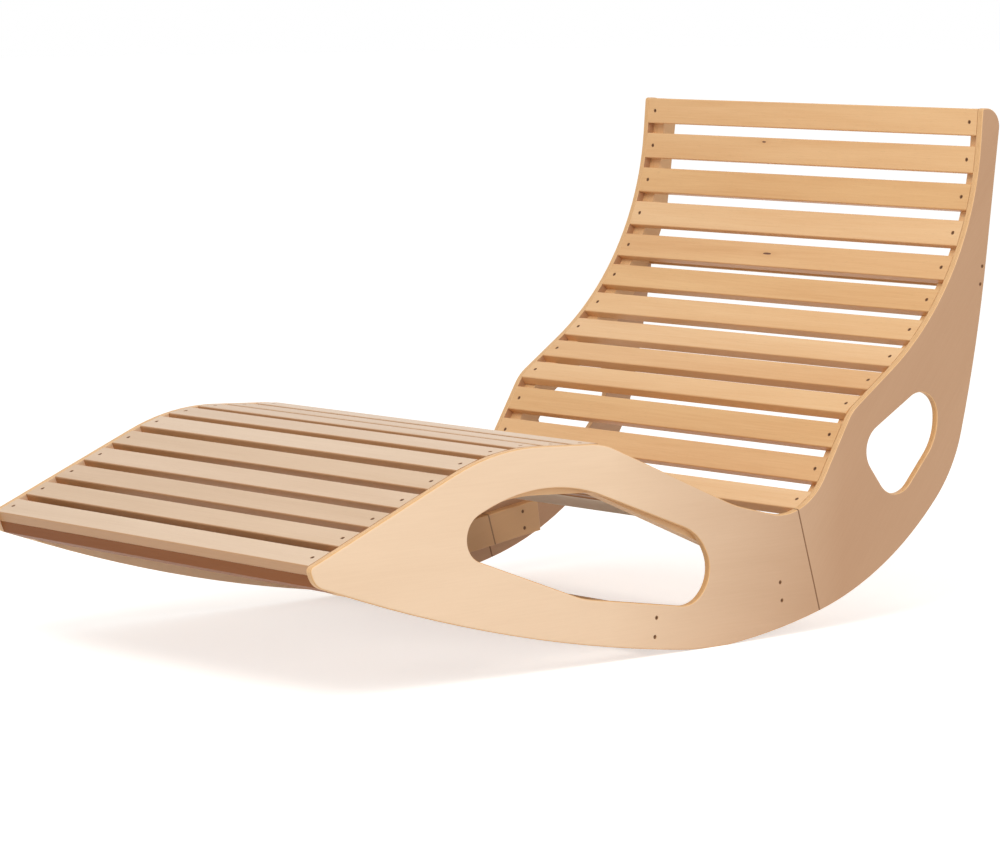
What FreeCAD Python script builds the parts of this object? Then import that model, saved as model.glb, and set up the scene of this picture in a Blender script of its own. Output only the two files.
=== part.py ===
import FreeCAD, Part
import math
import os

# Rocking chaise lounge of birch plywood sides and wooden slats, in millimetres.
# X runs from the foot end to the head end, Y across the seat, Z up.
# The origin is on the floor, under the middle of the bounding box.
# Each side is a leg plate and a back plate that meet at a seam under the seat.
# Slats lie on ledges inside the plates, so their faces follow the plates' edges.

# Boards
PLATE_T = 12.0
SLAT_T = 18.0
SLAT_W = 48.0
SLAT_SPAN = 836.0
LEG_SLATS = 17
BACK_SLATS = 13
RAIL_T = 18.0
RAIL_W = 60.0
BACK_RAIL_W = 50.0
FOOT_RAIL_T = 32.0
LEDGE_W = 27.0
LEDGE_DEPTH_LEG = 62.0
LEDGE_DEPTH_BACK = 40.0
SPLICE_T = 18.0
SPLICE_L = 240.0
SPLICE_W = 60.0

# Clearances
END_GAP = 0.3
SEAM_GAP = 0.3
SEAT_CUT = 1.6
SCREW_GAP = 0.15
DOWEL_GAP = 0.1

# Lying surface in side view: straight stretches, their slopes and the bends between them
SEAT_CORNER_X = 300.7
SEAT_CORNER_Z = 192.2
SEAT_LENGTH = 176.0
SEAT_SLOPE = -14.1
THIGH_LENGTH = 328.0
THIGH_SLOPE = -23.0
KNEE_LENGTH = 233.5
KNEE_SLOPE = -2.7
LEG_LENGTH = 413.5
LEG_SLOPE = 22.1
LOIN_LENGTH = 213.3
LOIN_SLOPE = 58.3
LUMBAR_LENGTH = 363.3
LUMBAR_SLOPE = 33.7
BACK_LENGTH = 312.0
BACK_SLOPE = 85.4
CALF_BEND_R = 434.0
KNEE_BEND_R = 150.0
THIGH_BEND_R = 282.0
SEAT_BEND_R = 118.0
LUMBAR_BEND_R = 80.0
BACK_BEND_R = 508.0

# Underside: a short flat to rest on, then arcs towards each end, with the slopes they end at.
# The radius of the last arc follows from the length of the straight edge that it leaves.
REST_X = 94.5
REST_FLAT = 44.0
FOOT_ARC_R = 600.0
FOOT_ARC_SLOPE = 6.6
FOOT_STRAIGHT = 105.0
HEEL_ARC_R = 60.0
HEEL_ARC_SLOPE = 4.2
ROCKER_ARC_R = 1307.0
ROCKER_ARC_SLOPE = 13.7
TURN_ARC_R = 617.0
TURN_ARC_SLOPE = 46.0
RISE_ARC_R = 255.0
RISE_ARC_SLOPE = 75.0
REAR_STRAIGHT = 267.0

# Ends of the plates
NOSE_DEPTH = 32.0
NOSE_R = 33.0
TOP_DEPTH = 50.0
TOP_R = 33.0
FOOT_TIP_R = 9.0
HEAD_TIP_R = 5.0

# Seam between the leg plate and the back plate
SEAM_BEFORE_CORNER = 9.5
SEAM_SLOPE = 107.1

# Windows in the plates: step from a bend of the lying surface, and the corner radius
LEG_WINDOW = (
    ("knee", -133.0, -143.0, 40.0),
    ("knee", 101.0, -48.0, 355.0),
    ("seat", -81.0, -40.0, 95.0),
    ("seat", -24.0, -173.0, 57.0),
    ("thigh", -43.0, -251.0, 177.0),
)
BACK_WINDOW = (
    ("lumbar", 15.0, -59.0, 45.0),
    ("lumbar", 214.0, 50.0, 45.0),
    ("lumbar", 219.0, -62.0, 90.0),
    ("lumbar", 111.0, -178.0, 48.0),
)

# Rounded edges
PLATE_EDGE_R = 3.0
PLATE_INNER_R = 1.5
SEAM_EDGE_R = 1.5
SLAT_EDGE_R = 2.5
SLAT_BACK_R = 1.0
RAIL_EDGE_R = 2.0

# Slats
FIRST_SLAT_INSET = 8.4
LAST_LEG_SLAT_INSET = 29.7
FIRST_BACK_SLAT_INSET = 6.3
TOP_SLAT_INSET = 0.7
SLAT_SCREW_INSET = 18.0

# Rails
ROCKER_RAIL_X = -54.2
ROCKER_RAIL_Z = 48.5
ROCKER_RAIL_TILT = 6.5
BACK_RAIL_INSET = 1.0
BACK_RAIL_Z = 590.5
SEAT_RAIL_W = 50.0
SPLICE_LEAD = 40.0
SPLICE_X = 241.4
SPLICE_Z = 78.0
SPLICE_TILT = 8.4

# Screws and dowels
HEAD_D = 7.0
HEAD_H = 3.2
HEAD_SINK = 0.6
RECESS_W = 1.2
RECESS_L = 3.6
RECESS_H = 1.6
SLAT_SCREW_D = 3.5
SLAT_SCREW_L = 38.0
FRAME_SCREW_D = 4.5
FRAME_SCREW_L = 62.0
SPLICE_TIP_COVER = 5.0
FRAME_SCREW_PITCH = 32.0
DOWEL_D = 8.0
DOWEL_L = 28.0
DOWEL_BITE = 8.0
DOWEL_PITCH = 30.0

INNER_Y = SLAT_SPAN / 2
OUTER_Y = INNER_Y + PLATE_T
SPLICE_SCREW_L = PLATE_T + SPLICE_T - SPLICE_TIP_COVER
Y_AXIS = FreeCAD.Vector(0, 1, 0)
ORIGIN = FreeCAD.Vector(0, 0, 0)


def vec(x, z, y=0.0):
    return FreeCAD.Vector(x, y, z)


def heading(degrees):
    angle = math.radians(degrees)
    return vec(math.cos(angle), math.sin(angle))


def below(degrees):
    """Unit vector square to a heading, on the underside of the lying surface."""
    return heading(degrees - 90.0)


def surface_corners():
    """Corners of the lying surface from the foot tip to the head end, and their bend radii."""
    seat_corner = vec(SEAT_CORNER_X, SEAT_CORNER_Z)
    seat = seat_corner - heading(SEAT_SLOPE) * SEAT_LENGTH
    thigh = seat - heading(THIGH_SLOPE) * THIGH_LENGTH
    knee = thigh - heading(KNEE_SLOPE) * KNEE_LENGTH
    tip = knee - heading(LEG_SLOPE) * LEG_LENGTH
    lumbar = seat_corner + heading(LOIN_SLOPE) * LOIN_LENGTH
    back = lumbar + heading(LUMBAR_SLOPE) * LUMBAR_LENGTH
    top = back + heading(BACK_SLOPE) * BACK_LENGTH
    names = ("tip", "knee", "thigh", "seat", "seat_corner", "lumbar", "back", "top")
    points = (tip, knee, thigh, seat, seat_corner, lumbar, back, top)
    radii = (0.0, CALF_BEND_R, KNEE_BEND_R, THIGH_BEND_R, SEAT_BEND_R, LUMBAR_BEND_R, BACK_BEND_R, 0.0)
    return dict(zip(names, points)), list(points), list(radii)


def rounded(points, radii, closed):
    """Edges of a path through the corners, each corner replaced by a tangent arc of its radius."""
    count = len(points)
    starts = []
    ends = []
    arcs = []
    for i, point in enumerate(points):
        last = not closed and i in (0, count - 1)
        if last or radii[i] <= 0.0:
            starts.append(point)
            ends.append(point)
            arcs.append(None)
            continue
        to_last = (points[i - 1] - point).normalize()
        to_next = (points[(i + 1) % count] - point).normalize()
        half = 0.5 * to_last.getAngle(to_next)
        reach = radii[i] / math.tan(half)
        start = point + to_last * reach
        end = point + to_next * reach
        bisector = (to_last + to_next).normalize()
        centre = point + bisector * (radii[i] / math.sin(half))
        middle = centre - bisector * radii[i]
        starts.append(start)
        ends.append(end)
        arcs.append(Part.Arc(start, middle, end).toShape())
    edges = []
    for i in range(count):
        if arcs[i]:
            edges.append(arcs[i])
        if i == count - 1 and not closed:
            break
        following = starts[(i + 1) % count]
        if (following - ends[i]).Length > 1e-6:
            edges.append(Part.LineSegment(ends[i], following).toShape())
    return edges


def shifted_surface(depth):
    """Corners and radii of the lying surface moved down square to itself by a depth."""
    points = surface_corners()[1]
    radii = surface_corners()[2]
    moved = []
    bends = []
    for i, point in enumerate(points):
        if i == 0:
            slope = points[1] - point
            moved.append(point + vec(slope.z, -slope.x).normalize() * depth)
            bends.append(0.0)
            continue
        if i == len(points) - 1:
            slope = point - points[i - 1]
            moved.append(point + vec(slope.z, -slope.x).normalize() * depth)
            bends.append(0.0)
            continue
        before = (point - points[i - 1]).normalize()
        after = (points[i + 1] - point).normalize()
        turn = before.x * after.z - before.z * after.x
        normal = (vec(before.z, -before.x) + vec(after.z, -after.x)).normalize()
        half = 0.5 * before.getAngle(after)
        moved.append(point + normal * (depth / math.cos(half)))
        bends.append(max(radii[i] + math.copysign(depth, turn), 1.0))
    return moved, bends


def surface_edges():
    points = surface_corners()[1]
    radii = surface_corners()[2]
    return rounded(points, radii, False)


def surface_length():
    return sum(edge.Length for edge in surface_edges())


def on_surface(distance):
    """Point and slope of the lying surface at a distance along it from the foot tip."""
    left = distance
    edges = surface_edges()
    for edge in edges:
        if left <= edge.Length or edge is edges[-1]:
            param = edge.getParameterByLength(left)
            tangent = edge.tangentAt(param)
            start = edge.valueAt(edge.FirstParameter)
            end = edge.valueAt(edge.LastParameter)
            if tangent.dot(end - start) < 0:
                tangent = tangent * -1.0
            slope = math.degrees(math.atan2(tangent.z, tangent.x))
            return edge.valueAt(param), slope
        left -= edge.Length
    return None


def seam_distance():
    """Distance along the lying surface from the foot tip to the seam."""
    travelled = 0.0
    corner = surface_corners()[0]["seat_corner"]
    best = None
    for edge in surface_edges():
        middle = edge.valueAt((edge.FirstParameter + edge.LastParameter) / 2)
        away = (middle - corner).Length
        if edge.Curve.TypeId == "Part::GeomCircle" and (best is None or away < best[0]):
            best = (away, travelled + edge.Length / 2)
        travelled += edge.Length
    return best[1] - SEAM_BEFORE_CORNER


def tangent_angle(centre, radius, target, side):
    """Slope of the line through the target that touches a circle from below."""
    away = target - centre
    open_angle = math.degrees(math.acos(radius / away.Length))
    bearing = math.degrees(math.atan2(away.z, away.x))
    touch = bearing - side * open_angle
    return side * (touch + 90.0) % 360.0


def last_radius(point, angle, straight, target, side):
    """Radius of an arc from a point whose tangent line to the target has the length given."""
    away = target - point
    inward = heading(90.0 + side * angle)
    return (away.dot(away) - straight ** 2) / (2.0 * away.dot(inward))


def arc_edge(point, angle, radius, end_angle, side):
    """Arc between two slopes from a point, and the point where it ends."""
    centre = point + heading(90.0 + side * angle) * radius
    middle = centre - heading(90.0 + side * (angle + end_angle) / 2) * radius
    end = centre - heading(90.0 + side * end_angle) * radius
    return Part.Arc(point, middle, end).toShape(), end


def arc_chain(start, arcs, straight, target, side):
    """Edges of tangent arcs that leave a level start, to the head end or to the foot end."""
    edges = []
    point = start
    angle = 0.0
    for radius, end_angle in arcs:
        edge, point = arc_edge(point, angle, radius, end_angle, side)
        edges.append(edge)
        angle = end_angle
    radius = last_radius(point, angle, straight, target, side)
    centre = point + heading(90.0 + side * angle) * radius
    end_angle = tangent_angle(centre, radius, target, side)
    edge, point = arc_edge(point, angle, radius, end_angle, side)
    return edges + [edge], point


def reversed_edges(edges):
    out = []
    for edge in reversed(edges):
        a = edge.valueAt(edge.LastParameter)
        m = edge.valueAt((edge.FirstParameter + edge.LastParameter) / 2)
        b = edge.valueAt(edge.FirstParameter)
        if edge.Curve.TypeId == "Part::GeomCircle":
            out.append(Part.Arc(a, m, b).toShape())
        else:
            out.append(Part.LineSegment(a, b).toShape())
    return out


def nose_corner():
    return surface_corners()[0]["tip"] + below(LEG_SLOPE) * NOSE_DEPTH


def rear_corner():
    return surface_corners()[0]["top"] + heading(0.0) * TOP_DEPTH


def underside_edges():
    """Underside from the foot end to the head end, with its two end points."""
    rest = vec(REST_X, 0.0)
    half = heading(0.0) * (REST_FLAT / 2)
    foot_arcs = [(FOOT_ARC_R, FOOT_ARC_SLOPE)]
    head_arcs = [
        (HEEL_ARC_R, HEEL_ARC_SLOPE),
        (ROCKER_ARC_R, ROCKER_ARC_SLOPE),
        (TURN_ARC_R, TURN_ARC_SLOPE),
        (RISE_ARC_R, RISE_ARC_SLOPE),
    ]
    front, front_end = arc_chain(rest - half, foot_arcs, FOOT_STRAIGHT, nose_corner(), -1)
    rear, rear_end = arc_chain(rest + half, head_arcs, REAR_STRAIGHT, rear_corner(), 1)
    flat = Part.LineSegment(rest - half, rest + half).toShape()
    return reversed_edges(front) + [flat] + rear, front_end, rear_end


def outline_face():
    """Whole side in one piece: lying surface, head end, rear edge, underside and nose."""
    under, front_end, rear_end = underside_edges()
    points = surface_corners()[1]
    tip = points[0]
    top = points[-1]
    corners = [front_end, nose_corner(), tip] + points[1:-1] + [top, rear_corner(), rear_end]
    radii = [0.0, NOSE_R, FOOT_TIP_R] + surface_corners()[2][1:-1] + [HEAD_TIP_R, TOP_R, 0.0]
    edges = rounded(corners, radii, False)
    edges += reversed_edges(under)
    return Part.Face(Part.Wire(Part.__sortEdges__(edges)))


def window_face(rows):
    named = surface_corners()[0]
    corners = [named[row[0]] + vec(row[1], row[2]) for row in rows]
    radii = [row[3] for row in rows]
    return Part.Face(Part.Wire(rounded(corners, radii, True)))


def prism(face, low_y, high_y):
    body = face.copy()
    body.translate(FreeCAD.Vector(0, low_y, 0))
    return body.extrude(FreeCAD.Vector(0, high_y - low_y, 0))


def seam_side(front, gap):
    """Large block on the foot side or the head side of the seam."""
    top = on_surface(seam_distance())[0]
    way = heading(SEAM_SLOPE - 180.0)
    across = heading(SEAM_SLOPE - 90.0)
    sign = -1.0 if front else 1.0
    reach = 4000.0
    edge_a = top - way * reach + across * (sign * gap / 2)
    edge_b = top + way * reach + across * (sign * gap / 2)
    far = across * (sign * reach)
    loop = Part.makePolygon([edge_a, edge_b, edge_b + far, edge_a + far, edge_a])
    return prism(Part.Face(loop), -reach, reach)


def round_edges(body, radius, wanted):
    chosen = [edge for edge in body.Edges if wanted(edge)]
    return body.makeFillet(radius, chosen)


def at_y(y):
    def test(edge):
        box = edge.BoundBox
        return abs(box.YMin - y) < 1e-3 and abs(box.YMax - y) < 1e-3
    return test


def on_seam(edge):
    top = on_surface(seam_distance())[0]
    across = heading(SEAM_SLOPE - 90.0)
    ends = [vertex.Point for vertex in edge.Vertexes]
    if len(ends) < 2:
        return False
    away = [abs((p.x - top.x) * across.x + (p.z - top.z) * across.z) for p in ends]
    return max(away) < SEAM_GAP


def plate(front, window):
    """One side plate on the +Y side, with its window and rounded edges."""
    body = prism(outline_face(), INNER_Y, OUTER_Y)
    body = body.common(seam_side(front, SEAM_GAP))
    body = body.cut(prism(window_face(window), INNER_Y - 1.0, OUTER_Y + 1.0))
    body = body.Solids[0]
    outer = at_y(OUTER_Y)
    inner = at_y(INNER_Y)
    body = round_edges(body, PLATE_EDGE_R, lambda e: outer(e) and not on_seam(e))
    body = round_edges(body, PLATE_INNER_R, lambda e: inner(e) and not on_seam(e))
    body = round_edges(body, SEAM_EDGE_R, lambda e: outer(e) and on_seam(e))
    return body


def placed(body, point, slope):
    """Turn a body made along X by a slope and move it to a point in side view."""
    body = body.copy()
    body.rotate(ORIGIN, Y_AXIS, -slope)
    body.translate(point)
    return body


def slat_blank(extra=0.0):
    """Slat along Y with its top face at Z 0, centred on X."""
    length = SLAT_SPAN - 2 * END_GAP + extra
    corner = FreeCAD.Vector(-SLAT_W / 2, -length / 2, -SLAT_T)
    return Part.makeBox(SLAT_W, length, SLAT_T, corner)


def long_edges(top):
    def test(edge):
        box = edge.BoundBox
        level = 0.0 if top else -SLAT_T
        return box.YLength > 1.0 and abs(box.ZMax - level) < 1e-3 and box.ZLength < 1e-3
    return test


def screw(diameter, length):
    """Countersunk screw along -Z, its head's top at Z 0, with a cross recess."""
    head = Part.makeCone(HEAD_D / 2, diameter / 2, HEAD_H, ORIGIN, FreeCAD.Vector(0, 0, -1))
    shank = Part.makeCylinder(diameter / 2, length, ORIGIN, FreeCAD.Vector(0, 0, -1))
    body = head.fuse(shank).removeSplitter()
    for size in ((RECESS_L, RECESS_W), (RECESS_W, RECESS_L)):
        corner = FreeCAD.Vector(-size[0] / 2, -size[1] / 2, -RECESS_H)
        body = body.cut(Part.makeBox(size[0], size[1], RECESS_H + 1.0, corner))
    return body.Solids[0]


def screw_hole(diameter, length):
    """Room for a screw sunk below the face: clear sink, cone and shank along -Z."""
    sink = Part.makeCylinder(HEAD_D / 2 + SCREW_GAP, HEAD_SINK + 1.0, FreeCAD.Vector(0, 0, -HEAD_SINK))
    cone_top = FreeCAD.Vector(0, 0, -HEAD_SINK)
    down = FreeCAD.Vector(0, 0, -1)
    cone = Part.makeCone(HEAD_D / 2 + SCREW_GAP, diameter / 2 + SCREW_GAP, HEAD_H, cone_top, down)
    shank = Part.makeCylinder(diameter / 2 + SCREW_GAP, length + SCREW_GAP, cone_top, down)
    return sink.fuse([cone, shank])


def slat_row(start, end, count):
    """Distances along the lying surface of evenly spaced slats that fill a stretch of it."""
    first = start + SLAT_W / 2
    pitch = (end - start - SLAT_W) / (count - 1)
    return [first + pitch * i for i in range(count)]


def slat_places():
    """Distance along the lying surface of every slat, for the leg unit and the back unit."""
    seam = seam_distance()
    leg = slat_row(FIRST_SLAT_INSET, seam - LAST_LEG_SLAT_INSET, LEG_SLATS)
    back = slat_row(seam + FIRST_BACK_SLAT_INSET, surface_length() - TOP_SLAT_INSET, BACK_SLATS)
    return leg, back


def make_slats():
    blank = slat_blank()
    blank = round_edges(blank, SLAT_EDGE_R, long_edges(True))
    blank = round_edges(blank, SLAT_BACK_R, long_edges(False))
    hole = screw_hole(SLAT_SCREW_D, SLAT_SCREW_L)
    for side in (-1.0, 1.0):
        drill = hole.copy()
        drill.translate(FreeCAD.Vector(0, side * (SLAT_SPAN / 2 - SLAT_SCREW_INSET), 0))
        blank = blank.cut(drill)
    blank = blank.Solids[0]
    leg, back = slat_places()
    slats = {}
    for group, places in (("leg_slat", leg), ("back_slat", back)):
        for number, distance in enumerate(places, 1):
            point, slope = on_surface(distance)
            slats["%s_%02d" % (group, number)] = placed(blank, point, slope)
    return slats


def make_slat_screws():
    leg, back = slat_places()
    pattern = screw(SLAT_SCREW_D, SLAT_SCREW_L)
    hole = screw_hole(SLAT_SCREW_D, SLAT_SCREW_L)
    screws = []
    holes = []
    for distance in leg + back:
        point, slope = on_surface(distance)
        for side in (-1.0, 1.0):
            across = FreeCAD.Vector(0, side * (SLAT_SPAN / 2 - SLAT_SCREW_INSET), 0)
            sunk = pattern.copy()
            sunk.translate(across - FreeCAD.Vector(0, 0, HEAD_SINK))
            screws.append(placed(sunk, point, slope))
            drill = hole.copy()
            drill.translate(across)
            holes.append(placed(drill, point, slope))
    return screws, holes


def ledge_band(depth):
    """Side view of a ledge before it is cut to length: a band under the slats."""
    upper_points, upper_radii = shifted_surface(SLAT_T - SEAT_CUT)
    lower_points, lower_radii = shifted_surface(SLAT_T + depth)
    upper = rounded(upper_points, upper_radii, False)
    lower = rounded(lower_points, lower_radii, False)
    ends = [
        Part.LineSegment(upper_points[0], lower_points[0]).toShape(),
        Part.LineSegment(upper_points[-1], lower_points[-1]).toShape(),
    ]
    return Part.Face(Part.Wire(Part.__sortEdges__(upper + lower + ends)))


def foot_rail_back():
    """Plane behind the foot rail, as a block that holds everything towards the head."""
    tip = surface_corners()[0]["tip"]
    along = heading(LEG_SLOPE)
    start = tip + along * (FIRST_SLAT_INSET + FOOT_RAIL_T + END_GAP)
    reach = 4000.0
    away = below(LEG_SLOPE) * reach
    loop = Part.makePolygon([
        start - away,
        start + away,
        start + away + along * reach,
        start - away + along * reach,
        start - away,
    ])
    return prism(Part.Face(loop), -reach, reach)


def make_ledges(slat_solids, screw_holes):
    """Leg ledge and back ledge on the +Y side, notched for the slats."""
    outline = prism(outline_face(), INNER_Y - LEDGE_W, INNER_Y)
    ledges = []
    for front, depth in ((True, LEDGE_DEPTH_LEG), (False, LEDGE_DEPTH_BACK)):
        body = prism(ledge_band(depth), INNER_Y - LEDGE_W, INNER_Y)
        body = body.common(outline)
        body = body.common(seam_side(front, SEAM_GAP))
        if front:
            body = body.common(foot_rail_back())
        blank = slat_blank(extra=4 * END_GAP)
        seats = []
        leg, back = slat_places()
        for distance in leg if front else back:
            point, slope = on_surface(distance)
            seats.append(placed(blank, point, slope))
        body = body.cut(seats)
        near = [hole for hole in screw_holes if hole.BoundBox.YMin > 0]
        body = body.cut(near)
        ledges.append(max(body.Solids, key=lambda solid: solid.Volume))
    return ledges


def rail(length, wide, thick, radius):
    """Rail along Y, wide along Z and thick along X, centred on the origin."""
    corner = FreeCAD.Vector(-thick / 2, -length / 2, -wide / 2)
    body = Part.makeBox(thick, length, wide, corner)
    return round_edges(body, radius, lambda edge: edge.BoundBox.YLength > 1.0)


def rear_edge_at(z):
    """Point and slope of the rear edge at a height."""
    under, front_end, rear_end = underside_edges()
    if z >= rear_end.z:
        way = rear_corner() - rear_end
        share = (z - rear_end.z) / way.z
        return rear_end + way * share, math.degrees(math.atan2(way.z, way.x))
    arc = under[-1]
    low = arc.FirstParameter
    high = arc.LastParameter
    for step in range(60):
        middle = (low + high) / 2
        if (arc.valueAt(middle).z < z) == (arc.valueAt(arc.LastParameter).z > arc.valueAt(arc.FirstParameter).z):
            low = middle
        else:
            high = middle
    point = arc.valueAt(low)
    centre = arc.Curve.Center
    spoke = point - centre
    return point, math.degrees(math.atan2(spoke.z, spoke.x)) + 90.0


def rail_places():
    """Centre and lean of the rocker rail and the back rail in side view."""
    rocker = (vec(ROCKER_RAIL_X, ROCKER_RAIL_Z), -ROCKER_RAIL_TILT)
    edge_point, slope = rear_edge_at(BACK_RAIL_Z)
    inward = heading(slope + 90.0)
    back = (edge_point + inward * (RAIL_T / 2 + BACK_RAIL_INSET), slope - 90.0)
    return {"rocker_rail": rocker, "back_rail": back}


def frame_screw_places():
    """Point, lean and offset of each plate screw pair, for the rails and the splice."""
    places = []
    for centre, lean in rail_places().values():
        places.append((centre, lean))
    return places


def side_screw(body, centre, lean, offset, y, outward):
    """Move a screw made along -Z so that it enters a plate from its outer or inner face."""
    body = body.copy()
    body.rotate(ORIGIN, FreeCAD.Vector(1, 0, 0), -90.0 * outward)
    way = heading(90.0 + lean) * offset
    body.translate(centre + way + FreeCAD.Vector(0, y, 0))
    return body


def make_frame_screws():
    """Screws through the +Y plates into the rails, with the holes that they need."""
    pattern = screw(FRAME_SCREW_D, FRAME_SCREW_L)
    pattern.translate(FreeCAD.Vector(0, 0, -HEAD_SINK))
    hole = screw_hole(FRAME_SCREW_D, FRAME_SCREW_L)
    screws = []
    holes = []
    for centre, lean in frame_screw_places():
        for side in (-0.5, 0.5):
            offset = side * FRAME_SCREW_PITCH
            screws.append(side_screw(pattern, centre, lean, offset, OUTER_Y, 1.0))
            holes.append(side_screw(hole, centre, lean, offset, OUTER_Y, 1.0))
    return screws, holes


def make_splice():
    """Splice block behind the seam on the +Y side, and the screws that hold it."""
    start = vec(SPLICE_X, SPLICE_Z)
    along = heading(SPLICE_TILT)
    corner = FreeCAD.Vector(-SPLICE_LEAD, INNER_Y - SPLICE_T, -SPLICE_W / 2)
    block = Part.makeBox(SPLICE_L, SPLICE_T, SPLICE_W, corner)
    block = round_edges(block, RAIL_EDGE_R, at_y(INNER_Y - SPLICE_T))
    block = placed(block, start, SPLICE_TILT)
    pattern = screw(FRAME_SCREW_D, SPLICE_SCREW_L)
    pattern.translate(FreeCAD.Vector(0, 0, -HEAD_SINK))
    hole = screw_hole(FRAME_SCREW_D, SPLICE_SCREW_L)
    screws = []
    holes = []
    far = start + along * (SPLICE_L - 2 * SPLICE_LEAD)
    for centre, y, outward in ((start, OUTER_Y, 1.0), (far, INNER_Y - SPLICE_T, -1.0)):
        for side in (-0.5, 0.5):
            offset = side * FRAME_SCREW_PITCH
            screws.append(side_screw(pattern, centre, SPLICE_TILT, offset, y, outward))
            holes.append(side_screw(hole, centre, SPLICE_TILT, offset, y, outward))
    block = block.cut(holes).Solids[0]
    return block, screws, holes


def dowel_pair(centre, along, y):
    """Two dowels along Y through a joint face into the board outside it, and their holes."""
    dowels = []
    holes = []
    inner_end = FreeCAD.Vector(0, y + DOWEL_BITE - DOWEL_L, 0)
    for side in (-0.5, 0.5):
        place = centre + along * (side * DOWEL_PITCH) + inner_end
        dowels.append(Part.makeCylinder(DOWEL_D / 2, DOWEL_L, place, Y_AXIS))
        start = place - FreeCAD.Vector(0, DOWEL_GAP, 0)
        holes.append(Part.makeCylinder(DOWEL_D / 2 + DOWEL_GAP, DOWEL_L + 2 * DOWEL_GAP, start, Y_AXIS))
    return dowels, holes


def make_seat_rail():
    """Flat rail under the last leg slat, between the two leg ledges."""
    point, slope = on_surface(slat_places()[0][-1])
    length = SLAT_SPAN - 2 * LEDGE_W - 2 * END_GAP
    body = rail(length, RAIL_T, SEAT_RAIL_W, RAIL_EDGE_R)
    depth = SLAT_T + RAIL_T / 2
    centre = point + below(slope) * depth
    return placed(body, centre, slope), centre, slope


def make_foot_rail():
    """Rail under the first slat, flush with the nose and the underside of the plates."""
    tip = surface_corners()[0]["tip"]
    along = heading(LEG_SLOPE)
    down = below(LEG_SLOPE)
    start = tip + along * FIRST_SLAT_INSET + down * SLAT_T
    reach = down * (NOSE_DEPTH + FOOT_RAIL_T)
    back = along * FOOT_RAIL_T
    band = Part.Face(Part.makePolygon([start, start + reach, start + reach + back, start + back, start]))
    face = band.common(outline_face()).Faces[0]
    body = prism(face, -INNER_Y + END_GAP, INNER_Y - END_GAP)
    centre = start + down * SLAT_T + back * 0.4
    return body, centre


def mirror_y(body):
    return body.mirror(ORIGIN, Y_AXIS)


def export(name, bodies):
    shape = bodies[0] if len(bodies) == 1 else Part.makeCompound(bodies)
    shape.exportStep("parts/%s.step" % name)
    volume = sum(body.Volume for body in bodies)
    print("%-16s solids %3d volume %12.1f valid %s" % (name, len(bodies), volume, shape.isValid()))


def build():
    slats = make_slats()
    slat_screws, slat_holes = make_slat_screws()
    leg_ledge, back_ledge = make_ledges(slats, slat_holes)
    leg_plate = plate(True, LEG_WINDOW)
    back_plate = plate(False, BACK_WINDOW)
    frame_screws, frame_holes = make_frame_screws()
    splice, splice_screws, splice_holes = make_splice()
    seat_rail, seat_centre, seat_slope = make_seat_rail()
    foot_rail, foot_centre = make_foot_rail()
    places = rail_places()

    leg_plate = leg_plate.cut(frame_holes + splice_holes)
    back_plate = back_plate.cut(frame_holes + splice_holes)
    length = SLAT_SPAN - 2 * END_GAP
    widths = {"rocker_rail": RAIL_W, "back_rail": BACK_RAIL_W}
    rails = {}
    for name, (centre, lean) in places.items():
        body = placed(rail(length, widths[name], RAIL_T, RAIL_EDGE_R), centre, lean)
        body = body.cut(frame_holes + [mirror_y(hole) for hole in frame_holes])
        rails[name] = body.Solids[0]

    ledge_face = INNER_Y - LEDGE_W
    seat_dowels, seat_holes = dowel_pair(seat_centre, heading(seat_slope), ledge_face)
    foot_dowel, foot_hole = dowel_pair(foot_centre, heading(0.0) * 0.0, INNER_Y)
    seat_rail = seat_rail.cut(seat_holes + [mirror_y(hole) for hole in seat_holes]).Solids[0]
    foot_holes = foot_hole[:1] + [mirror_y(foot_hole[0])] + slat_holes[:2]
    foot_rail = foot_rail.cut(foot_holes).Solids[0]
    leg_ledge = leg_ledge.cut(seat_holes).Solids[0]
    leg_plate = leg_plate.cut(foot_hole[:1]).Solids[0]
    back_plate = back_plate.Solids[0]

    parts = {
        "leg_plate_left": [leg_plate],
        "leg_plate_right": [mirror_y(leg_plate)],
        "back_plate_left": [back_plate],
        "back_plate_right": [mirror_y(back_plate)],
        "leg_ledge_left": [leg_ledge],
        "leg_ledge_right": [mirror_y(leg_ledge)],
        "back_ledge_left": [back_ledge],
        "back_ledge_right": [mirror_y(back_ledge)],
        "splice_block_left": [splice],
        "splice_block_right": [mirror_y(splice)],
        "foot_rail": [foot_rail],
        "seat_rail": [seat_rail],
        "slat_screws": slat_screws,
        "frame_screws": frame_screws + [mirror_y(body) for body in frame_screws],
        "splice_screws": splice_screws + [mirror_y(body) for body in splice_screws],
        "rail_dowels": seat_dowels + foot_dowel[:1]
        + [mirror_y(body) for body in seat_dowels + foot_dowel[:1]],
    }
    for name, body in rails.items():
        parts[name] = [body]
    for name, body in slats.items():
        parts[name] = [body]
    return parts


def main():
    os.makedirs("parts", exist_ok=True)
    parts = build()
    for name, bodies in parts.items():
        export(name, bodies)
    everything = Part.makeCompound([body for bodies in parts.values() for body in bodies])
    box = everything.optimalBoundingBox(True)
    print("box x %.1f %.1f y %.1f %.1f z %.2f %.1f" % (
        box.XMin, box.XMax, box.YMin, box.YMax, box.ZMin, box.ZMax))
    mass = 0.0
    moment = FreeCAD.Vector()
    for name, bodies in parts.items():
        weight = 11.0 if "screws" in name else 1.0
        for body in bodies:
            mass += weight * body.Volume
            moment += body.CenterOfMass * (weight * body.Volume)
    centre = moment * (1.0 / mass)
    print("centre of mass x %.1f z %.1f, surface length %.1f, seam at %.1f" % (
        centre.x, centre.z, surface_length(), seam_distance()))


main()
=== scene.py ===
import math

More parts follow.
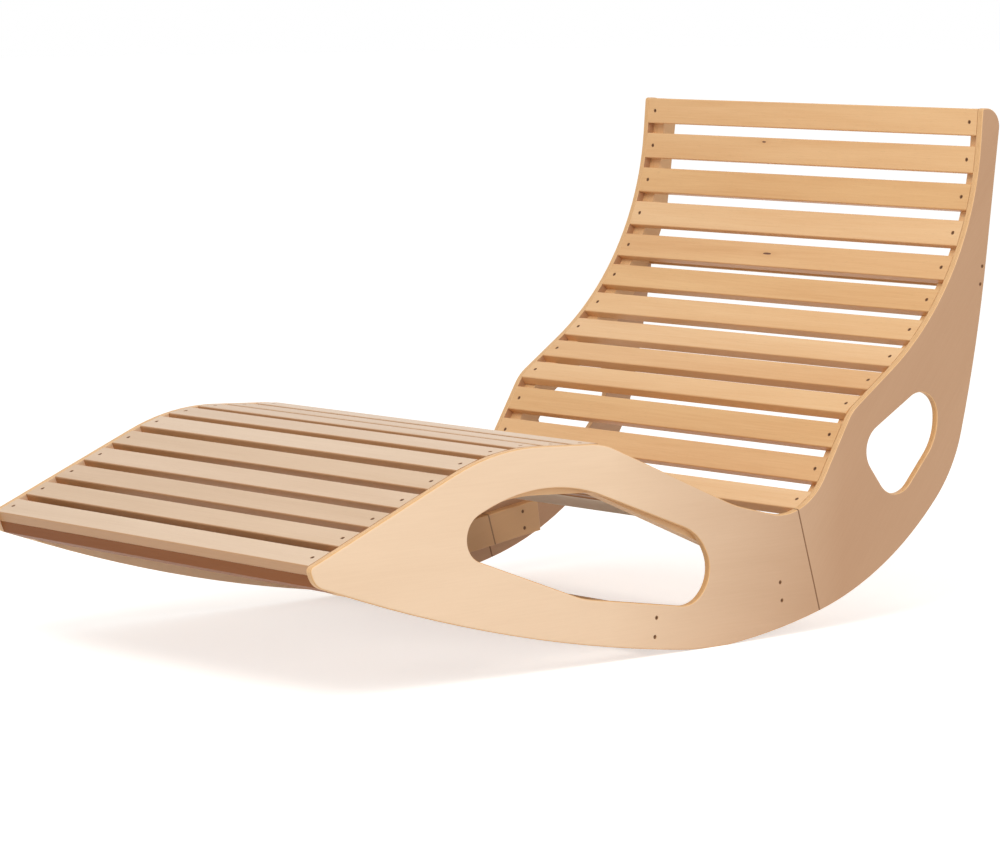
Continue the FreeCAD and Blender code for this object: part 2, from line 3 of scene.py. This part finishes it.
import bpy
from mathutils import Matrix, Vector

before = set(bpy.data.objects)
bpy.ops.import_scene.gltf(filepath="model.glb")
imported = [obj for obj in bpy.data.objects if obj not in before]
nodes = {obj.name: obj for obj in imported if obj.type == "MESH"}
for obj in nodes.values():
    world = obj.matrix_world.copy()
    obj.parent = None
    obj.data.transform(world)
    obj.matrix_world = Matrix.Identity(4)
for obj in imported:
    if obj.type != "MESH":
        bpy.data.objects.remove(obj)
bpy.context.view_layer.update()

# Side plates: inner face, one ply, and the seam plane between leg plates and back plates
INNER_Y = min(corner[1] for corner in nodes["leg_plate_left"].bound_box)
PLY_T = 0.00134
GLUE_SHARE = 0.12
SEAM_X = 0.2811
SEAM_Z = 0.2151
SEAM_TURN = math.radians(17.1)
SEAM_HALF_WIDTH = 0.0016
HALF_LENGTH = 0.786

# Grain stretch in repeats per metre, along X, Y and Z
SLAT_BROAD = (26.0, 1.6, 26.0)
SLAT_FINE = (420.0, 9.0, 420.0)
SLAT_PORES = (900.0, 60.0, 900.0)
VENEER_BROAD = (1.3, 8.0, 9.0)
VENEER_FINE = (12.0, 40.0, 330.0)
VENEER_PORES = (70.0, 300.0, 1100.0)
PLY_STREAKS = (60.0, 900.0, 60.0)
EDGE_WAVE_SCALE = 240.0
GRIME_SCALE = 900.0

# Grain direction of the plywood pieces, turned about Y
BACK_GRAIN_TURN = math.radians(52.0)
LEDGE_GRAIN_TURN = math.radians(20.0)

# Pin knots on the back slats: node, place of the knot, its radius and how far it is drawn out
KNOTS = (
    ("back_slat_12", (0.7339, 0.1032, 0.8110), 0.0022, 0.28),
    ("back_slat_09", (0.6698, 0.0302, 0.6098), 0.0027, 0.20),
)
KNOT_HALO = 3.5

SHARP_EDGE = math.radians(28.0)

# Stage
FLOOR_REACH = 40.0
FLOOR_COLOUR = (0.86, 0.84, 0.81, 1.0)
FLOOR_GLOW = 0.52
SKY_LIGHT = 0.6
WHITE = (1.0, 1.0, 1.0, 1.0)
LAMPS = (
    {
        "name": "key",
        "place": (-2.3, -1.5, 3.7),
        "target": (0.0, 0.0, 0.4),
        "size": 2.2,
        "power": 86.0,
        "colour": (1.0, 0.97, 0.92),
    },
    {
        "name": "fill",
        "place": (1.5, -4.0, 1.8),
        "target": (0.1, 0.0, 0.4),
        "size": 2.5,
        "power": 30.0,
        "colour": (1.0, 0.98, 0.95),
    },
)
CAMERA_PLACE = (-4.5516, -5.094, 1.1184)
CAMERA_TILT = math.radians(90.0 - 6.52)
CAMERA_TURN = math.radians(-41.68)
CAMERA_LENS = 142.74
SENSOR_WIDTH = 36.0


def srgb(red, green, blue):
    """Colour as it is read on screen, turned into the linear values that Blender takes."""
    out = []
    for value in (red, green, blue):
        value = value / 255.0
        out.append(value / 12.92 if value <= 0.04045 else ((value + 0.055) / 1.055) ** 2.4)
    return tuple(out)


# Tones of the wood: pale and deep grain
BACK_TONES = (
    (srgb(238, 196, 145), srgb(222, 172, 117)),
    (srgb(235, 191, 138), srgb(217, 165, 111)),
    (srgb(241, 201, 153), srgb(226, 178, 125)),
    (srgb(233, 189, 134), srgb(215, 163, 107)),
)
# Leg tones paler and greyer than the back tones: the wood's own tone with a painted sheen
LEG_TONES_WITH_SHEEN = (
    (srgb(219, 189, 159), srgb(206, 173, 139)),
    (srgb(216, 185, 153), srgb(202, 168, 132)),
    (srgb(222, 194, 165), srgb(209, 178, 146)),
    (srgb(215, 183, 151), srgb(200, 166, 130)),
)
FOOT_TONE = (srgb(230, 200, 166), srgb(214, 180, 142))
# Very pale seat board: painted light standing in for light thrown up from the floor
SEAT_BOARD_LIT_TONE = (srgb(248, 238, 222), srgb(238, 224, 202))
RAIL_TONE = (srgb(224, 184, 134), srgb(196, 150, 100))
DOWEL_TONE = (srgb(222, 186, 140), srgb(200, 158, 112))
LEDGE_VENEER = srgb(218, 176, 128)

# Slats take the tones in this order
TONE_ORDER = (0, 2, 1, 3, 0, 1, 2, 0, 3, 1, 2, 3, 0)

# Painted shade on the sides: faces whose normal's Z is below the level are multiplied by the shade
# tint
LEG_SIDE_SHADE = (0.6, (0.74, 0.54, 0.35))
BACK_SIDE_SHADE = (-0.2, (0.92, 0.86, 0.80))
FOOT_SIDE_SHADE = (0.6, (0.36, 0.17, 0.07))
LEG_COAT = 0.35
PLAIN_COAT = 0.15

# Side plates: painted light and shade run along the veneer, pale where the light falls at the foot
# end and browner in painted shade at the head end
SIDE_LIGHT_RUN = ((0.40, srgb(242, 212, 180)), (0.75, srgb(194, 152, 116)))
LIGHT_PLY = ((0.35, srgb(238, 196, 144)), (0.65, srgb(226, 180, 126)))
DARK_PLY = ((0.35, srgb(224, 176, 122)), (0.65, srgb(208, 160, 106)))
GLUE = srgb(150, 106, 66)
# Painted shade in the seam between the leg plates and the back plates
SEAM_SHADE = srgb(122, 80, 48)
KNOT_RIM = srgb(196, 140, 84)
KNOT_CORE = srgb(104, 58, 28)
SCREW_TONES = ((0.35, srgb(110, 76, 50)), (0.60, srgb(138, 100, 70)), (0.72, srgb(166, 132, 98)))


# Node helpers

def new_material(name):
    material = bpy.data.materials.new(name)
    material.use_nodes = True
    tree = material.node_tree
    shader = tree.nodes["Principled BSDF"]
    return material, tree, shader


def node(tree, kind, **values):
    made = tree.nodes.new(kind)
    for key, value in values.items():
        setattr(made, key, value)
    return made


def link(tree, source, target):
    tree.links.new(source, target)


def feed(tree, socket, value):
    """Give a socket a number, a colour or the output of another node."""
    if isinstance(value, (int, float)):
        socket.default_value = value
    elif isinstance(value, tuple):
        socket.default_value = value + (1.0,)
    else:
        link(tree, value, socket)


def math_node(tree, operation, *values, clamp=False):
    made = node(tree, "ShaderNodeMath", operation=operation, use_clamp=clamp)
    for socket, value in zip(made.inputs, values):
        feed(tree, socket, value)
    return made.outputs[0]


def mix_colour(tree, factor, a, b, blend="MIX"):
    made = node(tree, "ShaderNodeMix", data_type="RGBA", blend_type=blend)
    feed(tree, made.inputs[0], factor)
    feed(tree, made.inputs[6], a)
    feed(tree, made.inputs[7], b)
    return made.outputs[2]


def ramp(tree, factor, stops):
    made = node(tree, "ShaderNodeValToRGB")
    link(tree, factor, made.inputs[0])
    elements = made.color_ramp.elements
    for element, (position, colour) in zip(elements, (stops[0], stops[-1])):
        element.position = position
        element.color = colour + (1.0,)
    for position, colour in stops[1:-1]:
        elements.new(position).color = colour + (1.0,)
    return made.outputs[0]


def step_ramp(tree, factor, low, high):
    """Grey ramp that is 0 up to low and 1 from high."""
    return ramp(tree, factor, ((low, (0.0, 0.0, 0.0)), (high, (1.0, 1.0, 1.0))))


def noise(tree, vector, scale, detail=3.0, roughness=0.55, distortion=0.0):
    made = node(tree, "ShaderNodeTexNoise", noise_dimensions="3D")
    made.inputs["Scale"].default_value = scale
    made.inputs["Detail"].default_value = detail
    made.inputs["Roughness"].default_value = roughness
    made.inputs["Distortion"].default_value = distortion
    link(tree, vector, made.inputs["Vector"])
    return made.outputs["Fac"]


def stretched(tree, vector, scale):
    made = node(tree, "ShaderNodeMapping")
    made.inputs["Scale"].default_value = scale
    link(tree, vector, made.inputs["Vector"])
    return made.outputs[0]


def object_coords(tree):
    return node(tree, "ShaderNodeTexCoord").outputs["Object"]


def turned_coords(tree, plain, turn_y=0.0, shift=(0.0, 0.0, 0.0)):
    """Object coordinates turned about Y, then shifted, for grain."""
    made = node(tree, "ShaderNodeMapping")
    made.inputs["Rotation"].default_value = (0.0, turn_y, 0.0)
    made.inputs["Location"].default_value = shift
    link(tree, plain, made.inputs["Vector"])
    return made.outputs[0]


def split(tree, vector):
    made = node(tree, "ShaderNodeSeparateXYZ")
    link(tree, vector, made.inputs[0])
    return made.outputs


def face_normal(tree):
    return split(tree, node(tree, "ShaderNodeNewGeometry").outputs["True Normal"])


def bump(tree, shader, height, strength, distance=0.0005):
    made = node(tree, "ShaderNodeBump")
    made.inputs["Strength"].default_value = strength
    made.inputs["Distance"].default_value = distance
    link(tree, height, made.inputs["Height"])
    link(tree, made.outputs[0], shader.inputs["Normal"])


def surface(tree, shader, colour, grain, rough_spread, rough_base):
    """Colour and a roughness that follows the grain."""
    link(tree, colour, shader.inputs["Base Color"])
    rough = math_node(tree, "MULTIPLY_ADD", grain, rough_spread, rough_base)
    link(tree, rough, shader.inputs["Roughness"])


def varnish(shader, weight, roughness):
    shader.inputs["Coat Weight"].default_value = weight
    shader.inputs["Coat Roughness"].default_value = roughness


# Solid wood of the slats and rails: grain along Y

def with_knot(tree, plain, fine, colour, place, radius, narrow):
    """Colour with one pin knot in it, drawn out along the grain."""
    away = node(tree, "ShaderNodeVectorMath", operation="SUBTRACT")
    link(tree, plain, away.inputs[0])
    away.inputs[1].default_value = place
    spread = node(tree, "ShaderNodeVectorMath", operation="MULTIPLY")
    link(tree, away.outputs[0], spread.inputs[0])
    spread.inputs[1].default_value = (1.0, narrow, 1.0)
    length = node(tree, "ShaderNodeVectorMath", operation="LENGTH")
    link(tree, spread.outputs[0], length.inputs[0])
    wobble = math_node(tree, "MULTIPLY", fine, 0.0016)
    reach = math_node(tree, "ADD", length.outputs["Value"], wobble)
    core = math_node(tree, "LESS_THAN", reach, radius)
    fade = math_node(tree, "DIVIDE", reach, radius * KNOT_HALO)
    halo = math_node(tree, "SUBTRACT", 1.0, fade, clamp=True)
    colour = mix_colour(tree, math_node(tree, "MULTIPLY", halo, 0.35), colour, KNOT_RIM)
    return mix_colour(tree, core, colour, KNOT_CORE)


def slat_wood(name, tone, shift, side_shade=None, coat=PLAIN_COAT, knot=None):
    """Wood with the grain along Y, with painted shade multiplied onto the sides if it is given."""
    material, tree, shader = new_material(name)
    pale, deep = tone
    plain = object_coords(tree)
    turned = turned_coords(tree, plain, shift=shift)
    broad = noise(tree, stretched(tree, turned, SLAT_BROAD), 1.0, 4.0, 0.5, 0.3)
    fine = noise(tree, stretched(tree, turned, SLAT_FINE), 1.0, 4.0, 0.6)
    pores = noise(tree, stretched(tree, turned, SLAT_PORES), 1.0, 2.0, 0.5)
    from_broad = math_node(tree, "MULTIPLY", broad, 0.65)
    from_fine = math_node(tree, "MULTIPLY", fine, 0.35)
    blend = math_node(tree, "ADD", from_broad, from_fine)
    between = tuple((a + b) / 2 for a, b in zip(pale, deep))
    colour = ramp(tree, blend, ((0.30, pale), (0.52, between), (0.72, deep)))
    fleck = step_ramp(tree, pores, 0.60, 0.72)
    pore_colour = tuple(value * 0.62 for value in deep)
    colour = mix_colour(tree, math_node(tree, "MULTIPLY", fleck, 0.16), colour, pore_colour)
    # Painted shade: faces on the sides are multiplied by the shade tint
    if side_shade:
        level, shade_tint = side_shade
        in_side_shade = math_node(tree, "LESS_THAN", face_normal(tree)["Z"], level)
        colour = mix_colour(tree, in_side_shade, colour, mix_colour(tree, 1.0, colour, shade_tint, "MULTIPLY"))
    if knot:
        colour = with_knot(tree, plain, fine, colour, *knot)
    surface(tree, shader, colour, fine, 0.14, 0.42)
    varnish(shader, coat, 0.35)
    sunk_pores = math_node(tree, "MULTIPLY", fleck, -0.6)
    bump(tree, shader, math_node(tree, "ADD", fine, sunk_pores), 0.18)
    return material


# Plywood of the side plates and ledges: veneer on the flat faces, plies on every edge

def seam_shade_mask(tree, plain):
    """1 near the plane where the leg plates meet the back plates: the band of painted shade along
    the seam.
    """
    place = split(tree, plain)
    from_x = math_node(tree, "SUBTRACT", place["X"], SEAM_X)
    from_z = math_node(tree, "SUBTRACT", place["Z"], SEAM_Z)
    along = math_node(tree, "MULTIPLY", from_x, math.cos(SEAM_TURN))
    rise = math_node(tree, "MULTIPLY", from_z, math.sin(SEAM_TURN))
    away = math_node(tree, "ABSOLUTE", math_node(tree, "ADD", along, rise))
    return math_node(tree, "LESS_THAN", away, SEAM_HALF_WIDTH)


def side_light_run(tree, plain):
    """Painted light and shade along the veneer, from the pale lit foot end to the browner shaded
    head end.
    """
    length = node(tree, "ShaderNodeMapRange")
    length.inputs["From Min"].default_value = -HALF_LENGTH
    length.inputs["From Max"].default_value = HALF_LENGTH
    link(tree, split(tree, plain)["X"], length.inputs["Value"])
    return ramp(tree, length.outputs[0], SIDE_LIGHT_RUN)


def veneer_face(tree, plain, turned, tone):
    """Colour of the veneer, and the fine grain in it."""
    cloud = noise(tree, stretched(tree, turned, VENEER_BROAD), 1.0, 4.0, 0.5, 0.6)
    fine = noise(tree, stretched(tree, turned, VENEER_FINE), 1.0, 4.0, 0.62)
    pores = noise(tree, stretched(tree, turned, VENEER_PORES), 1.0, 2.0, 0.5)
    from_cloud = math_node(tree, "MULTIPLY", cloud, 0.7)
    from_fine = math_node(tree, "MULTIPLY", fine, 0.3)
    blend = math_node(tree, "ADD", from_cloud, from_fine)
    grain = ramp(tree, blend, ((0.32, (1.0, 1.0, 1.0)), (0.70, (0.92, 0.89, 0.86))))
    face = mix_colour(tree, 1.0, tone or side_light_run(tree, plain), grain, "MULTIPLY")
    fleck = step_ramp(tree, pores, 0.60, 0.74)
    darker = mix_colour(tree, 1.0, face, (0.6, 0.6, 0.6), "MULTIPLY")
    return mix_colour(tree, math_node(tree, "MULTIPLY", fleck, 0.07), face, darker), fine


def ply_edge(tree, plain):
    """Colour of the plies on a cut edge, and the glue lines between them."""
    depth = math_node(tree, "ABSOLUTE", split(tree, plain)["Y"])
    depth = math_node(tree, "SUBTRACT", depth, INNER_Y)
    edge_noise = noise(tree, plain, EDGE_WAVE_SCALE, 3.0, 0.6)
    wavy = math_node(tree, "MULTIPLY_ADD", edge_noise, 0.0006, -0.0003)
    ply = math_node(tree, "DIVIDE", math_node(tree, "ADD", depth, wavy), PLY_T)
    parity = math_node(tree, "MODULO", math_node(tree, "FLOOR", ply), 2.0)
    glue = math_node(tree, "LESS_THAN", math_node(tree, "FRACT", ply), GLUE_SHARE)
    streak = noise(tree, stretched(tree, plain, PLY_STREAKS), 1.0, 3.0, 0.6)
    edge = mix_colour(tree, parity, ramp(tree, streak, LIGHT_PLY), ramp(tree, streak, DARK_PLY))
    return mix_colour(tree, math_node(tree, "MULTIPLY", glue, 0.3), edge, GLUE), glue


def plywood(name, turn, tone=None):
    """Plywood with one veneer tone, or else with the painted light and shade run of the side plates.
    """
    material, tree, shader = new_material(name)
    plain = object_coords(tree)
    face, fine = veneer_face(tree, plain, turned_coords(tree, plain, turn), tone)
    edge, glue = ply_edge(tree, plain)
    facing = math_node(tree, "ABSOLUTE", face_normal(tree)["Y"])
    flat = step_ramp(tree, facing, 0.80, 0.93)
    colour = mix_colour(tree, flat, edge, face)
    # Painted shade darkens the band along the seam
    seam_shade = math_node(tree, "MULTIPLY", seam_shade_mask(tree, plain), 0.8)
    colour = mix_colour(tree, seam_shade, colour, SEAM_SHADE)
    surface(tree, shader, colour, fine, 0.16, 0.40)
    varnish(shader, PLAIN_COAT, 0.32)
    raised_grain = math_node(tree, "MULTIPLY", fine, flat)
    sunk_glue = math_node(tree, "MULTIPLY", glue, -0.7)
    bump(tree, shader, math_node(tree, "ADD", raised_grain, sunk_glue), 0.15)
    return material


# Brown coated screws, mottled by wear

def screw_coat(name):
    material, tree, shader = new_material(name)
    grime = noise(tree, object_coords(tree), GRIME_SCALE, 4.0, 0.6)
    surface(tree, shader, ramp(tree, grime, SCREW_TONES), grime, 0.3, 0.30)
    shader.inputs["Metallic"].default_value = 0.5
    bump(tree, shader, grime, 0.2, 0.0002)
    return material


# Dressing of the nodes

def dress(name, material):
    body = nodes[name]
    body.data.materials.clear()
    body.data.materials.append(material)
    for polygon in body.data.polygons:
        polygon.material_index = 0


def tone_index(name):
    return TONE_ORDER[int(name[-2:]) % len(TONE_ORDER)]


def dress_slats(group, tones, side_shade, coat):
    woods = []
    for i, tone in enumerate(tones):
        shift = (0.7 * i, 1.3 * i, 0.4 * i)
        woods.append(slat_wood("%s_wood_%d" % (group, i), tone, shift, side_shade, coat))
    for name in nodes:
        if name.startswith(group + "_slat_"):
            dress(name, woods[tone_index(name)])


def dress_knotted_slats():
    for name, place, radius, narrow in KNOTS:
        tone = BACK_TONES[tone_index(name)]
        knot = (place, radius, narrow)
        dress(name, slat_wood("%s_wood" % name, tone, place, BACK_SIDE_SHADE, PLAIN_COAT, knot))


def dress_sides():
    leg = plywood("side_veneer_and_painted_light_leg", 0.0)
    back = plywood("side_veneer_and_painted_light_back", BACK_GRAIN_TURN)
    ledge = plywood("ledge_veneer", LEDGE_GRAIN_TURN, LEDGE_VENEER)
    for side in ("left", "right"):
        dress("leg_plate_%s" % side, leg)
        dress("back_plate_%s" % side, back)
        for name in ("leg_ledge_%s", "back_ledge_%s", "splice_block_%s"):
            dress(name % side, ledge)


def dress_rails():
    rail = slat_wood("rail_wood", RAIL_TONE, (3.1, 0.2, 1.7))
    for name in ("rocker_rail", "back_rail"):
        dress(name, rail)
    # Foot rail: its front and lower faces are painted dark brown as shade
    foot = slat_wood("foot_wood", FOOT_TONE, (1.2, 0.6, 2.9), FOOT_SIDE_SHADE, 0.0)
    foot.node_tree.nodes["Principled BSDF"].inputs["Specular IOR Level"].default_value = 0.15
    dress("foot_rail", foot)
    # Seat board painted pale as painted light from the floor below
    dress("seat_rail", slat_wood("seat_board_wood", SEAT_BOARD_LIT_TONE, (5.3, 1.1, 0.8)))
    dress("rail_dowels", slat_wood("dowel_wood", DOWEL_TONE, (9.0, 2.0, 5.0)))


def dress_screws():
    coat = screw_coat("screw_coat")
    for name in ("slat_screws", "frame_screws", "splice_screws"):
        dress(name, coat)


def smooth_shading():
    for body in nodes.values():
        for polygon in body.data.polygons:
            polygon.use_smooth = True
        body.data.set_sharp_from_angle(angle=SHARP_EDGE)


# Floor, world, lamps and camera

def seen_directly(tree):
    """1 for rays that the camera, a gloss or a glass sends, so that they meet plain white."""
    path = node(tree, "ShaderNodeLightPath").outputs
    mirrored = math_node(tree, "MAXIMUM", path["Is Glossy Ray"], path["Is Transmission Ray"])
    return math_node(tree, "MAXIMUM", path["Is Camera Ray"], mirrored)


def floor_material():
    material, tree, shader = new_material("floor_white")
    shader.inputs["Base Color"].default_value = FLOOR_COLOUR
    shader.inputs["Roughness"].default_value = 0.9
    shader.inputs["Specular IOR Level"].default_value = 0.1
    glow = node(tree, "ShaderNodeEmission")
    glow.inputs["Color"].default_value = WHITE
    link(tree, math_node(tree, "MULTIPLY", seen_directly(tree), FLOOR_GLOW), glow.inputs["Strength"])
    both = node(tree, "ShaderNodeAddShader")
    link(tree, shader.outputs[0], both.inputs[0])
    link(tree, glow.outputs[0], both.inputs[1])
    link(tree, both.outputs[0], tree.nodes["Material Output"].inputs["Surface"])
    return material


def stage_floor():
    mesh = bpy.data.meshes.new("floor")
    low = -FLOOR_REACH
    high = FLOOR_REACH
    corners = [(low, low, 0.0), (high, low, 0.0), (high, high, 0.0), (low, high, 0.0)]
    mesh.from_pydata(corners, [], [(0, 1, 2, 3)])
    mesh.materials.append(floor_material())
    floor = bpy.data.objects.new("floor", mesh)
    bpy.context.scene.collection.objects.link(floor)


def background(shader, strength):
    shader.inputs["Color"].default_value = WHITE
    shader.inputs["Strength"].default_value = strength
    return shader.outputs[0]


def white_world():
    """World that lights softly and looks plain white."""
    world = bpy.data.worlds.new("white_world")
    world.use_nodes = True
    bpy.context.scene.world = world
    tree = world.node_tree
    mix = node(tree, "ShaderNodeMixShader")
    link(tree, seen_directly(tree), mix.inputs[0])
    link(tree, background(tree.nodes["Background"], SKY_LIGHT), mix.inputs[1])
    link(tree, background(node(tree, "ShaderNodeBackground"), 1.0), mix.inputs[2])
    link(tree, mix.outputs[0], tree.nodes["World Output"].inputs["Surface"])


def lamp(name, place, target, size, power, colour):
    data = bpy.data.lights.new(name, "AREA")
    data.shape = "RECTANGLE"
    data.size = size
    data.size_y = size
    data.energy = power
    data.color = colour
    made = bpy.data.objects.new(name, data)
    made.location = place
    made.rotation_euler = (Vector(target) - Vector(place)).to_track_quat("-Z", "Y").to_euler()
    bpy.context.scene.collection.objects.link(made)


def camera():
    data = bpy.data.cameras.new("photo_camera")
    data.sensor_fit = "HORIZONTAL"
    data.sensor_width = SENSOR_WIDTH
    data.lens = CAMERA_LENS
    made = bpy.data.objects.new("photo_camera", data)
    made.location = CAMERA_PLACE
    made.rotation_euler = (CAMERA_TILT, 0.0, CAMERA_TURN)
    bpy.context.scene.collection.objects.link(made)
    bpy.context.scene.camera = made


bpy.context.scene.view_settings.view_transform = "Standard"
dress_slats("leg", LEG_TONES_WITH_SHEEN, LEG_SIDE_SHADE, LEG_COAT)
dress_slats("back", BACK_TONES, BACK_SIDE_SHADE, PLAIN_COAT)
dress_knotted_slats()
dress_sides()
dress_rails()
dress_screws()
smooth_shading()
stage_floor()
white_world()
for settings in LAMPS:
    lamp(**settings)
camera()
